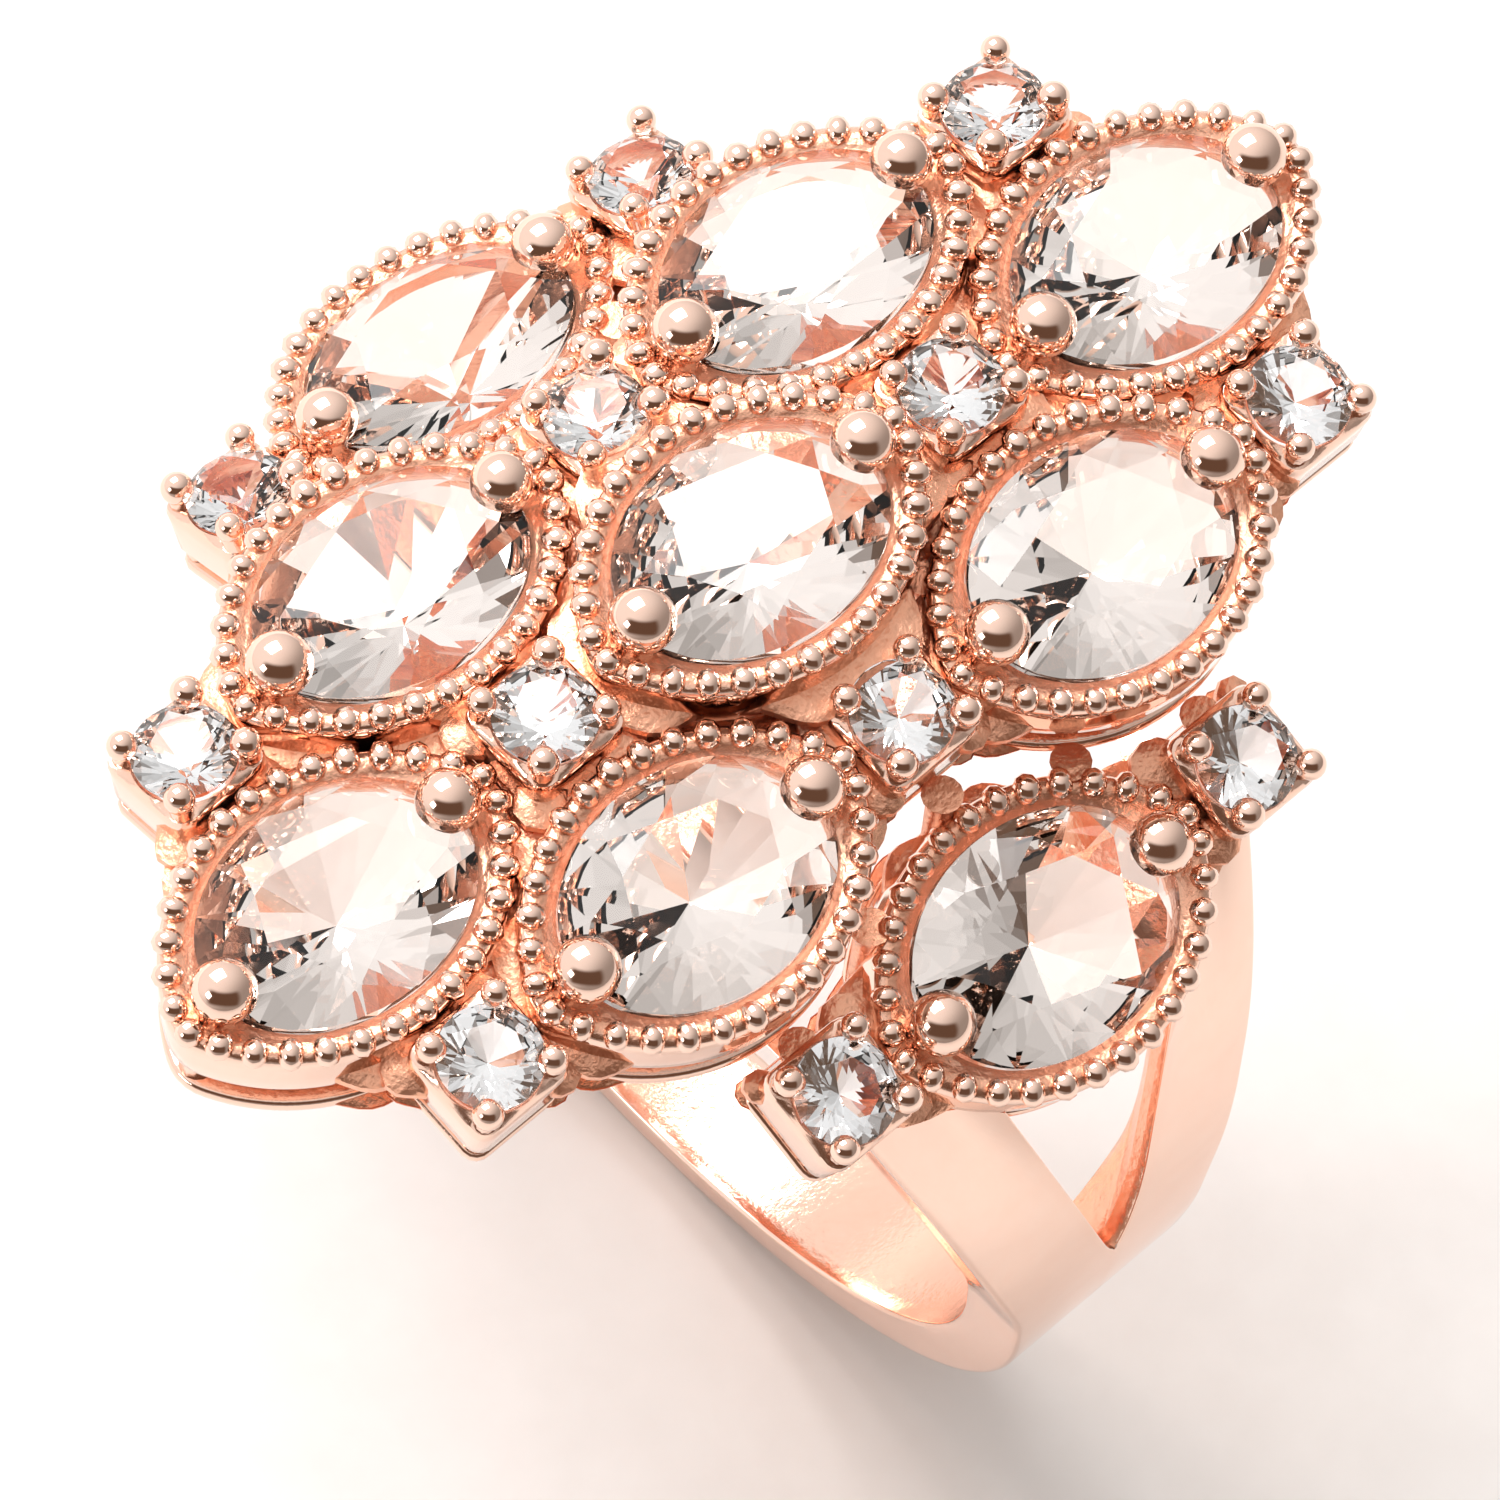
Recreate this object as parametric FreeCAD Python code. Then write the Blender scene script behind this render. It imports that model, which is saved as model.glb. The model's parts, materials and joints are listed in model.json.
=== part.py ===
import FreeCAD, Part
import math
import os
from FreeCAD import Placement, Rotation, Vector

# Cocktail ring, in millimetres. The origin is the middle of the finger hole, +Y runs along the finger and
# +Z points up through the middle stone.

# the finger hole and the shank around it
FINGER_RADIUS = 8.65
FOOT_THICKNESS = 0.95
SIDE_THICKNESS = 1.27
SHANK_FOOT_WIDTH = 2.2
SHANK_EDGE_ROUND = 0.12
SHOULDER_LEAN = 13.2
ARM_WIDTH = 2.3
ARM_INNER_REACH = 5.0
ARM_AIM_PAST_CUPS = 0.11

# the opening between the two arms of each shoulder, hollowed away from the inside to leave a thin lip
SPLIT_START = 0.3
SPLIT_HALF_ANGLE = 16.3
SPLIT_ROUND = 0.15
LIP_THICKNESS = 0.38
HOLLOW_DEPTH = 1.55
HOLLOW_SIDE_SLOPE = 1.3
HOLLOW_FOOT_SLOPE = 1.2

# the domed cluster: rows of settings stepped across and along the finger
CLUSTER_RISE = 3.25
STEP_ACROSS = 3.67
STEP_ALONG = 4.55
SIDE_DROP = 3.53
END_DROP = 1.17
LEAN_SHARE_ACROSS = 0.42
LEAN_SHARE_ALONG = 0.15
EDGE_ROUND_LIFT = 0.8

# the stones
OVAL_STONE_WIDTH = 3.9
OVAL_STONE_LENGTH = 5.1
OVAL_CROWN_HEIGHT = 0.62
OVAL_PAVILION_DEPTH = 1.65
ROUND_STONE_DIAMETER = 1.8
ROUND_CROWN_HEIGHT = 0.3
ROUND_PAVILION_DEPTH = 0.78
GIRDLE_SHARE = 0.035
TABLE_SHARE = 0.58
STAR_SHARE = 0.8
LOWER_FACET_SHARE = 0.22
FACETS_AROUND = 8
POLYGON_OVERSIZE = 1.03
STONE_CLEARANCE = 0.02

# the oval settings: a ledge around the stone, a raised bead band, a wall and two claws
LEDGE_WIDTH = 0.15
BEAD_BAND_WIDTH = 0.4
BEAD_BAND_HEIGHT = 0.2
OVAL_TIP_EXTRA = 0.35
OVAL_TIP_RADIUS = 0.9
OVAL_WALL_DEPTH = 0.95
OVAL_SEAT_WIDTH = 0.45
OVAL_CLAW_BEAD_RADIUS = 0.56
OVAL_CLAW_POST_RADIUS = 0.4
OVAL_CLAW_INSET = 0.08
OVAL_CLAW_HEIGHT = 0.42

# the round settings: a square cup with a claw at each corner
ROUND_CUP_MARGIN = 0.1
ROUND_CUP_CORNER = 0.3
ROUND_CUP_DEPTH = 0.9
ROUND_SEAT_WIDTH = 0.25
ROUND_CLAW_BEAD_RADIUS = 0.27
ROUND_CLAW_POST_RADIUS = 0.2
ROUND_CLAW_HEIGHT = 0.3
ROUND_CLAW_OVERLAP = 0.1

# the gallery: one lower rail under each setting, tied by posts
RAIL_WIDTH = 0.45
RAIL_HEIGHT = 0.35
SLOT_HEIGHT = 0.6
ROUND_RAIL_WIDTH = 0.35
ROUND_RAIL_HEIGHT = 0.3
ROUND_SLOT_HEIGHT = 0.4
POST_RADIUS = 0.34
POST_INSET = 0.05
TIE_GRIP = 0.26

# lengths only used to make cutting bodies long enough
FAR = 40.0

UP = Vector(0, 0, 1)
OVAL_HALF_WIDTH = OVAL_STONE_WIDTH / 2 + LEDGE_WIDTH + BEAD_BAND_WIDTH
OVAL_HALF_LENGTH = OVAL_STONE_LENGTH / 2 + LEDGE_WIDTH + BEAD_BAND_WIDTH + OVAL_TIP_EXTRA
ROUND_CUP_HALF = ROUND_STONE_DIAMETER / 2 + ROUND_CUP_MARGIN
OVAL_RAIL_BOTTOM = -(OVAL_WALL_DEPTH + SLOT_HEIGHT + RAIL_HEIGHT)
ROUND_RAIL_BOTTOM = -(ROUND_CUP_DEPTH + ROUND_SLOT_HEIGHT + ROUND_RAIL_HEIGHT)
SIDE_STEPS = 2 * STEP_ACROSS
END_STEPS = 2 * STEP_ALONG
DOME_RADIUS_ACROSS = (SIDE_STEPS**2 + SIDE_DROP**2) / (2 * SIDE_DROP)
DOME_RADIUS_ALONG = (END_STEPS**2 + END_DROP**2) / (2 * END_DROP)
FOOT_REACH = FINGER_RADIUS + FOOT_THICKNESS
SIDE_REACH = FINGER_RADIUS + SIDE_THICKNESS
BAND_CENTRE = (SIDE_REACH**2 - FOOT_REACH**2) / (2 * FOOT_REACH)
BAND_RADIUS = FOOT_REACH + BAND_CENTRE
SHOULDER_SLOPE = math.tan(math.radians(SHOULDER_LEAN))
SPLIT_SLOPE = math.tan(math.radians(SPLIT_HALF_ANGLE))
CLUSTER_HEIGHT = FINGER_RADIUS + CLUSTER_RISE
ARM_SLOPE = (STEP_ALONG + ARM_AIM_PAST_CUPS - ARM_WIDTH) / (CLUSTER_HEIGHT - SIDE_DROP - SPLIT_START)


def seat_frame(across, along, lift=0.0):
    """The place of a setting: its stone's girdle centre on the dome, leaning outward by a share of the slope."""
    x = across * STEP_ACROSS
    y = along * STEP_ALONG
    drop_across = DOME_RADIUS_ACROSS - math.sqrt(DOME_RADIUS_ACROSS**2 - x**2)
    drop_along = DOME_RADIUS_ALONG - math.sqrt(DOME_RADIUS_ALONG**2 - y**2)
    lean_across = LEAN_SHARE_ACROSS * math.degrees(math.asin(x / DOME_RADIUS_ACROSS))
    lean_along = LEAN_SHARE_ALONG * math.degrees(math.asin(y / DOME_RADIUS_ALONG))
    turn = Rotation(Vector(0, 1, 0), lean_across) * Rotation(Vector(1, 0, 0), -lean_along)
    return Placement(Vector(x, y, CLUSTER_HEIGHT - drop_across - drop_along + lift), turn)


def oval_places():
    """Name, steps and place of the nine oval settings: three rows, a to c, of three."""
    places = []
    for row_number, row in enumerate("abc"):
        for number in range(3):
            across = (number - 1) + (row_number - 1)
            along = (number - 1) - (row_number - 1)
            places.append((f"{row}{number + 1}", (across, along), seat_frame(across, along)))
    return places


def round_places():
    """Number, steps and place of the round settings, which fill the dome's steps between the ovals."""
    ovals = [steps for _, steps, _ in oval_places()]
    places = []
    for along in range(2, -3, -1):
        for across in range(-2, 3):
            if (across + along) % 2 == 0:
                continue
            inside = abs(across) + abs(along) == 1
            touching = sum(abs(across - a) + abs(along - b) == 1 for a, b in ovals)
            if touching < 2:
                continue
            lift = 0.0 if inside else EDGE_ROUND_LIFT
            name = f"{len(places) + 1:02d}"
            places.append((name, (across, along), seat_frame(across, along, lift)))
    return places


def height_at(place, x, y, level):
    """The height where a vertical line at x, y meets the plane at this level of a tilted setting."""
    base = place.multVec(Vector(0, 0, level))
    normal = place.Rotation.multVec(UP)
    return base.z - (normal.x * (x - base.x) + normal.y * (y - base.y)) / normal.z


def polygon_face(points):
    return Part.Face(Part.makePolygon(points + [points[0]]))


def brilliant(half_width, half_length, crown, pavilion):
    """A brilliant-cut stone: flat facets on a sixteen-sided plan, cut to an oval girdle. Its girdle is at z = 0."""
    girdle = GIRDLE_SHARE * half_width
    step = 2 * math.pi / FACETS_AROUND
    crown_slope = (crown - girdle) / (POLYGON_OVERSIZE - TABLE_SHARE)
    pavilion_slope = (pavilion - girdle) / POLYGON_OVERSIZE
    half_cos = math.cos(step / 2)

    def point(share, turns, z):
        angle = turns * step
        return Vector(share * half_width * math.cos(angle), share * half_length * math.sin(angle), z)

    star_z = girdle + (POLYGON_OVERSIZE - STAR_SHARE * half_cos) * crown_slope
    lower_z = -girdle - (POLYGON_OVERSIZE - LOWER_FACET_SHARE * half_cos) * pavilion_slope
    culet = Vector(0, 0, -pavilion)
    faces = [polygon_face([point(TABLE_SHARE, k, crown) for k in range(FACETS_AROUND)])]
    for k in range(FACETS_AROUND):
        table, table_next = point(TABLE_SHARE, k, crown), point(TABLE_SHARE, k + 1, crown)
        star, star_before = point(STAR_SHARE, k + 0.5, star_z), point(STAR_SHARE, k - 0.5, star_z)
        lower, lower_before = (
            point(LOWER_FACET_SHARE, k + 0.5, lower_z),
            point(LOWER_FACET_SHARE, k - 0.5, lower_z),
        )
        top = [point(POLYGON_OVERSIZE, k + share, girdle) for share in (0, 0.5, 1)]
        bottom = [point(POLYGON_OVERSIZE, k + share, -girdle) for share in (0, 0.5, 1)]
        faces += [
            polygon_face([table, table_next, star]),
            polygon_face([table, star, top[0], star_before]),
            polygon_face([star, top[0], top[1]]),
            polygon_face([star, top[1], top[2]]),
            polygon_face([top[0], top[1], bottom[1], bottom[0]]),
            polygon_face([top[1], top[2], bottom[2], bottom[1]]),
            polygon_face([lower, bottom[0], bottom[1]]),
            polygon_face([lower, bottom[1], bottom[2]]),
            polygon_face([culet, lower, bottom[0], lower_before]),
        ]
    shell = Part.makeShell(faces)
    shell.sewShape()
    cut = Part.Solid(shell)
    if cut.Volume < 0:
        cut.reverse()
    return cut.common(oval_prism_plain(half_width, half_length, -pavilion, crown))


def oval_prism_plain(half_width, half_length, low, high):
    """An elliptical prism, or a cylinder where both half sizes agree."""
    base = Vector(0, 0, low)
    if math.isclose(half_width, half_length):
        return Part.makeCylinder(half_width, high - low, base)
    outline = Part.Ellipse(base + Vector(0, half_length, 0), base + Vector(half_width, 0, 0), base)
    return Part.Face(Part.Wire(outline.toShape())).extrude(Vector(0, 0, high - low))


def side_arc_radius(inset):
    """The radius of the long side arcs that run smoothly into the outline's tip arcs."""
    width = OVAL_HALF_WIDTH - inset
    tip = OVAL_TIP_RADIUS - inset
    tip_centre = OVAL_HALF_LENGTH - OVAL_TIP_RADIUS
    return (width**2 + tip_centre**2 - tip**2) / (2 * (width - tip))


def pointed_oval(inset, low, high):
    """A prism on the setting's outline: two long side arcs that run smoothly into small tip arcs, drawn inset."""
    width = OVAL_HALF_WIDTH - inset
    tip = OVAL_TIP_RADIUS - inset
    tip_centre = OVAL_HALF_LENGTH - OVAL_TIP_RADIUS
    side = side_arc_radius(inset)
    toward = math.atan2(tip_centre, side - width)
    joint = Vector(tip * math.cos(toward), tip_centre + tip * math.sin(toward), low)
    right, end = Vector(width, 0, low), Vector(0, tip_centre + tip, low)

    def mirrored(point, sx, sy):
        return Vector(point.x * sx, point.y * sy, point.z)

    corners = [mirrored(joint, sx, sy) for sx, sy in ((1, -1), (1, 1), (-1, 1), (-1, -1))]
    middles = [right, end, mirrored(right, -1, 1), mirrored(end, 1, -1)]
    arcs = [
        Part.Arc(corners[k], middles[k], corners[(k + 1) % 4]).toShape() for k in range(4)
    ]
    return Part.Face(Part.Wire(arcs)).extrude(Vector(0, 0, high - low))


def square_cup(inset, low, high):
    """A square prism with rounded upright corners, drawn inset from the round setting's outline."""
    half = ROUND_CUP_HALF - inset
    block = Part.makeBox(2 * half, 2 * half, high - low, Vector(-half, -half, low))
    upright = [e for e in block.Edges if abs(e.tangentAt(e.FirstParameter).z) > 0.5]
    return block.makeFillet(max(ROUND_CUP_CORNER - inset, ROUND_CUP_CORNER / 3), upright)


def claw(x, y, foot, head, post_radius, bead_radius, lean_x, lean_y):
    """A claw: an upright post with a ball on its head, the ball set in over the stone."""
    post = Part.makeCylinder(post_radius, head - foot, Vector(x, y, foot))
    return post.fuse(Part.makeSphere(bead_radius, Vector(x - lean_x, y - lean_y, head)))


def oval_stone(clearance=0.0):
    return brilliant(
        OVAL_STONE_WIDTH / 2 + clearance,
        OVAL_STONE_LENGTH / 2 + clearance,
        OVAL_CROWN_HEIGHT + clearance,
        OVAL_PAVILION_DEPTH + clearance,
    )


def round_stone(clearance=0.0):
    return brilliant(
        ROUND_STONE_DIAMETER / 2 + clearance,
        ROUND_STONE_DIAMETER / 2 + clearance,
        ROUND_CROWN_HEIGHT + clearance,
        ROUND_PAVILION_DEPTH + clearance,
    )


def oval_setting():
    """The wall, bead band and two claws around one oval stone, with the stone's seat cut out."""
    body = pointed_oval(0, -OVAL_WALL_DEPTH, 0)
    band = pointed_oval(0, -OVAL_WALL_DEPTH / 2, BEAD_BAND_HEIGHT)
    band = band.cut(pointed_oval(BEAD_BAND_WIDTH, -OVAL_WALL_DEPTH, FAR))
    body = body.fuse(band)
    bead_y = OVAL_STONE_LENGTH / 2 - OVAL_CLAW_INSET
    post_y = OVAL_STONE_LENGTH / 2 + OVAL_CLAW_POST_RADIUS / 2
    for side in (-1, 1):
        body = body.fuse(
            claw(
                0,
                side * post_y,
                -OVAL_WALL_DEPTH,
                OVAL_CLAW_HEIGHT,
                OVAL_CLAW_POST_RADIUS,
                OVAL_CLAW_BEAD_RADIUS,
                0,
                side * (post_y - bead_y),
            )
        )
    hole = oval_prism_plain(
        OVAL_STONE_WIDTH / 2 - OVAL_SEAT_WIDTH,
        OVAL_STONE_LENGTH / 2 - OVAL_SEAT_WIDTH,
        -OVAL_WALL_DEPTH - 1,
        0,
    )
    return body.cut(hole.fuse(oval_stone(STONE_CLEARANCE))).removeSplitter()


def round_setting():
    """The square cup and four claws around one round stone, with the stone's seat cut out."""
    body = square_cup(0, -ROUND_CUP_DEPTH, 0)
    reach = ROUND_STONE_DIAMETER / 2 + ROUND_CLAW_POST_RADIUS / 2
    lean = ROUND_CLAW_OVERLAP * math.sqrt(0.5)
    corner = reach * math.sqrt(0.5)
    for sx in (-1, 1):
        for sy in (-1, 1):
            body = body.fuse(
                claw(
                    sx * corner,
                    sy * corner,
                    -ROUND_CUP_DEPTH,
                    ROUND_CLAW_HEIGHT,
                    ROUND_CLAW_POST_RADIUS,
                    ROUND_CLAW_BEAD_RADIUS,
                    sx * lean,
                    sy * lean,
                )
            )
    hole = Part.makeCylinder(
        ROUND_STONE_DIAMETER / 2 - ROUND_SEAT_WIDTH,
        ROUND_CUP_DEPTH + 1,
        Vector(0, 0, -ROUND_CUP_DEPTH - 1),
    )
    return body.cut(hole.fuse(round_stone(STONE_CLEARANCE))).removeSplitter()


def oval_rail():
    """The lower rail under one oval setting, with a post up to the setting under each claw."""
    bottom, top = OVAL_RAIL_BOTTOM, OVAL_RAIL_BOTTOM + RAIL_HEIGHT
    rail = pointed_oval(0, bottom, top).cut(pointed_oval(RAIL_WIDTH, bottom - 1, top + 1))
    post_y = OVAL_HALF_LENGTH - POST_RADIUS - POST_INSET
    for side in (-1, 1):
        height = -OVAL_WALL_DEPTH - bottom
        rail = rail.fuse(Part.makeCylinder(POST_RADIUS, height, Vector(0, side * post_y, bottom)))
    return rail


def round_rail():
    """The lower rail under one round setting, with a post up to the cup at each corner."""
    bottom, top = ROUND_RAIL_BOTTOM, ROUND_RAIL_BOTTOM + ROUND_RAIL_HEIGHT
    rail = square_cup(0, bottom, top).cut(square_cup(ROUND_RAIL_WIDTH, bottom - 1, top + 1))
    corner = ROUND_CUP_HALF - ROUND_CUP_CORNER
    for sx in (-1, 1):
        for sy in (-1, 1):
            foot = Vector(sx * corner, sy * corner, bottom)
            rail = rail.fuse(Part.makeCylinder(ROUND_CUP_CORNER, -ROUND_CUP_DEPTH - bottom, foot))
    return rail


def diagonal_gap():
    """The gap between the walls of two ovals one step apart both ways, along the line between their centres."""
    apart = math.hypot(STEP_ACROSS, STEP_ALONG)
    radius = side_arc_radius(0)
    centre = OVAL_HALF_WIDTH - radius
    reach = centre * STEP_ACROSS / apart + math.sqrt(radius**2 - (centre * STEP_ALONG / apart) ** 2)
    return apart - 2 * reach


def tie_posts(ovals, rounds):
    """Upright posts where two neighbouring rails run side by side, tall enough to join both and wide enough to
    bridge the gap between them with a grip on each."""
    posts = []
    round_gap = (STEP_ACROSS - OVAL_HALF_WIDTH - ROUND_CUP_HALF, STEP_ALONG - OVAL_HALF_LENGTH - ROUND_CUP_HALF)
    levels = [(place, steps, OVAL_RAIL_BOTTOM, -OVAL_WALL_DEPTH) for _, steps, place in ovals]
    levels += [(place, steps, ROUND_RAIL_BOTTOM, -ROUND_CUP_DEPTH) for _, steps, place in rounds]
    for first in range(len(levels)):
        for second in range(first + 1, len(levels)):
            place_a, steps_a, low_a, high_a = levels[first]
            place_b, steps_b, low_b, high_b = levels[second]
            gap = (abs(steps_a[0] - steps_b[0]), abs(steps_a[1] - steps_b[1]))
            if gap == (1, 1) and second < len(ovals):
                x = (place_a.Base.x + place_b.Base.x) / 2
                y = (place_a.Base.y + place_b.Base.y) / 2
                width = diagonal_gap()
            elif sum(gap) == 1:
                round_place = place_b.Base
                toward = place_a.Base - round_place
                width = round_gap[0] if gap[0] else round_gap[1]
                reach = ROUND_CUP_HALF + width / 2
                x = round_place.x + math.copysign(reach, toward.x) * gap[0]
                y = round_place.y + math.copysign(reach, toward.y) * gap[1]
            else:
                continue
            low = min(height_at(place_a, x, y, low_a), height_at(place_b, x, y, low_b))
            high = max(height_at(place_a, x, y, high_a), height_at(place_b, x, y, high_b))
            posts.append(Part.makeCylinder(width / 2 + TIE_GRIP, high - low, Vector(x, y, low)))
    return posts


def finger_hole():
    return Part.makeCylinder(FINGER_RADIUS, 2 * FAR, Vector(0, -FAR, 0), Vector(0, 1, 0))


def placed(shape, place):
    moved = shape.copy()
    moved.Placement = place
    return moved


def gallery(ovals, rounds):
    """All lower rails and posts in one casting, cut clear of the settings that stand on it and of the finger."""
    pieces = [placed(oval_rail(), place) for _, _, place in ovals]
    pieces += [placed(round_rail(), place) for _, _, place in rounds]
    pieces += tie_posts(ovals, rounds)
    body = pieces[0].multiFuse(pieces[1:])
    blocks = [placed(pointed_oval(0, -OVAL_WALL_DEPTH, FAR / 10), place) for _, _, place in ovals]
    blocks += [placed(square_cup(0, -ROUND_CUP_DEPTH, FAR / 10), place) for _, _, place in rounds]
    return body.cut(blocks + [finger_hole()])


def shoulder_line(z, inward=0.0):
    """How far out the straight face of a shoulder lies at a height, or a face set inward from it."""
    lean = math.radians(SHOULDER_LEAN)
    start_z = BAND_CENTRE + BAND_RADIUS * math.sin(lean)
    start_x = BAND_RADIUS * math.cos(lean)
    return start_x - (z - start_z) * SHOULDER_SLOPE - inward / math.cos(lean)


def hoop():
    """The band's outer form: round below, with straight shoulders that leave it smoothly and lean inward."""
    ring = Part.makeCylinder(BAND_RADIUS, 2 * FAR, Vector(0, -FAR, BAND_CENTRE), Vector(0, 1, 0))
    low = BAND_CENTRE + BAND_RADIUS * math.sin(math.radians(SHOULDER_LEAN))
    high = CLUSTER_HEIGHT
    shoulders = polygon_face(
        [
            Vector(-shoulder_line(low), -FAR, low),
            Vector(shoulder_line(low), -FAR, low),
            Vector(shoulder_line(high), -FAR, high),
            Vector(-shoulder_line(high), -FAR, high),
        ]
    ).extrude(Vector(0, 2 * FAR, 0))
    return ring.fuse(shoulders).removeSplitter()


def taper():
    """The band's outline from the side: narrow at the foot, then two arms that lean out to the small cups."""
    foot = SHANK_FOOT_WIDTH / 2
    top = ARM_WIDTH + (CLUSTER_HEIGHT - SPLIT_START) * ARM_SLOPE
    corners = [(foot, -FOOT_REACH), (ARM_WIDTH, SPLIT_START), (top, CLUSTER_HEIGHT)]
    outline = [Vector(-FAR, -y, z) for y, z in corners] + [Vector(-FAR, y, z) for y, z in reversed(corners)]
    return polygon_face(outline).extrude(Vector(2 * FAR, 0, 0))


def split():
    """The wedge between the arms, right through the band."""
    spread = CLUSTER_HEIGHT * SPLIT_SLOPE
    wedge = polygon_face(
        [
            Vector(-FAR, 0, SPLIT_START),
            Vector(-FAR, spread, SPLIT_START + CLUSTER_HEIGHT),
            Vector(-FAR, -spread, SPLIT_START + CLUSTER_HEIGHT),
        ]
    ).extrude(Vector(2 * FAR, 0, 0))
    root = [e for e in wedge.Edges if e.BoundBox.ZMax < SPLIT_START + 1]
    return wedge.makeFillet(SPLIT_ROUND, root)


def hollow(side):
    """The hollow behind the split on one shoulder: it starts a lip's thickness behind the outer face and widens
    inward, each deeper outline lower and wider than the last."""
    outlines = []
    for inward in (0, HOLLOW_DEPTH):
        low = SPLIT_START - HOLLOW_FOOT_SLOPE * inward
        high = SPLIT_START + CLUSTER_HEIGHT
        corners = []
        for z in (low, high):
            y = (z - SPLIT_START) * SPLIT_SLOPE + HOLLOW_SIDE_SLOPE * inward + SPLIT_ROUND / 2
            x = side * shoulder_line(z, LIP_THICKNESS + inward)
            corners += [Vector(x, -y, z), Vector(x, y, z)]
        outlines.append([corners[0], corners[1], corners[3], corners[2]])
    near, far = outlines
    faces = [polygon_face(near), polygon_face(far)]
    faces += [polygon_face([near[k - 1], near[k], far[k], far[k - 1]]) for k in range(4)]
    return Part.makeSolid(Part.makeShell(faces))


def shank(ovals, rounds, casting):
    """The band: a tapering hoop around the finger that splits into two arms at each shoulder, whose ends are fitted
    to the gallery casting."""
    body = hoop().common(taper())
    long_edges = [e for e in body.Edges if e.BoundBox.ZLength > 1 and e.BoundBox.XLength > 0.1]
    body = body.makeFillet(SHANK_EDGE_ROUND, long_edges)
    body = body.cut([finger_hole(), split(), hollow(1), hollow(-1)])
    body = body.cut(Part.makeBox(2 * ARM_INNER_REACH, 2 * FAR, FAR, Vector(-ARM_INNER_REACH, -FAR, 0)))
    return body.cut(shoulder_cuts(ovals, rounds)).cut(casting)


def shoulder_cuts(ovals, rounds):
    """Everything above the rails of the settings on the shoulders, so that the arms end on those rails."""
    tip = STEP_ALONG - ROUND_CUP_HALF
    cuts = []
    for _, (across, along), place in ovals:
        if abs(across) == 2:
            cuts.append((place, OVAL_RAIL_BOTTOM, -tip, tip))
    for _, (across, along), place in rounds:
        if abs(across) == 2:
            low, high = (tip, FAR) if along > 0 else (-FAR, -tip)
            cuts.append((place, ROUND_RAIL_BOTTOM, low, high))
    bodies = []
    for place, level, low, high in cuts:
        slab = Part.makeBox(FAR, 2 * FAR, FAR, Vector(-FAR / 2, -FAR, level))
        strip = Part.makeBox(FAR, high - low, 2 * FAR, Vector(0 if place.Base.x > 0 else -FAR, low, -FAR))
        bodies.append(placed(slab, place).common(strip))
    return bodies


def write(name, shape):
    solids = shape.Solids
    if len(solids) != 1 or not shape.isValid():
        raise ValueError(f"{name} has {len(solids)} solids")
    solids[0].exportStep(f"parts/{name}.step")


os.makedirs("parts", exist_ok=True)
OVALS, ROUNDS = oval_places(), round_places()
GALLERY = gallery(OVALS, ROUNDS)
write("gallery", GALLERY)
write("shank", shank(OVALS, ROUNDS, GALLERY))
for kind, places, make_setting, make_stone in (
    ("oval", OVALS, oval_setting, oval_stone),
    ("round", ROUNDS, round_setting, round_stone),
):
    setting, stone = make_setting(), make_stone()
    for name, _, place in places:
        write(f"{kind}_setting_{name}", placed(setting, place))
        write(f"{kind}_stone_{name}", placed(stone, place))
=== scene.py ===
import json
import math

import bmesh
import bpy
import mathutils
import numpy as np
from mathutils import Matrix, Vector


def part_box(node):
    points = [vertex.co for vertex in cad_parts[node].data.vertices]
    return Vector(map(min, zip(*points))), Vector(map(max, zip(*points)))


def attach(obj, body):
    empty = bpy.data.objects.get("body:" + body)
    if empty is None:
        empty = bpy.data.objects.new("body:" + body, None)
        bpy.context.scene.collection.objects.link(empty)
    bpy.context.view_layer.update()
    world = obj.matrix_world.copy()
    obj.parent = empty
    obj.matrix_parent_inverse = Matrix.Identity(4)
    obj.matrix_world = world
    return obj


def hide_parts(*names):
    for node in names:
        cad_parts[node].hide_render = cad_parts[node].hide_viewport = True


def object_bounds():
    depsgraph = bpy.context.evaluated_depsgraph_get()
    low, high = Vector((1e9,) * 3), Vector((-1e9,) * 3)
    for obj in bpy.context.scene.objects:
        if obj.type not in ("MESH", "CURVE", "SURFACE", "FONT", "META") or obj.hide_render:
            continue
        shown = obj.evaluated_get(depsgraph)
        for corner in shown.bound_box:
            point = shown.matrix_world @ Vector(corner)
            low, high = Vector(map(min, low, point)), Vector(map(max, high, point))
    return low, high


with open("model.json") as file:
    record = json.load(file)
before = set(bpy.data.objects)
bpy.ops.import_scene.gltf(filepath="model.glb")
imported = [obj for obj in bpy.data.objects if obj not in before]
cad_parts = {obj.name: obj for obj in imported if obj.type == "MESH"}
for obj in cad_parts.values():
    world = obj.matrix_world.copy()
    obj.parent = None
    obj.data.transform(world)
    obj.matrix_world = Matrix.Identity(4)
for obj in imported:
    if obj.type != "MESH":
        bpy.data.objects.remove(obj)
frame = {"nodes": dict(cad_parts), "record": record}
cad_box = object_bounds()

MM = 0.001

# ---------------------------------------------------------------------------
# Shank: the tapering band that goes round the finger, cast in rose-gold-plated
# metal, filed flat on its faces and polished. At each shoulder it is sawn into
# two arms, which are soldered under the walls of the outer settings.
# ---------------------------------------------------------------------------

ROSE_PALE = (0.97, 0.71, 0.59, 1)
# The deep rose colour is mixed in where the metal is as cast, in the recesses: painted shade and light bounced
# between the metal's faces, with a little random variation.
ROSE_DEEP_TONE_AND_SHADE = (1.0, 0.46, 0.27, 1)


def add_socket(group, name, kind, is_output, default=None):
    way = "OUTPUT" if is_output else "INPUT"
    socket = group.interface.new_socket(name=name, in_out=way, socket_type=kind)
    if default is not None:
        socket.default_value = default


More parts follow.
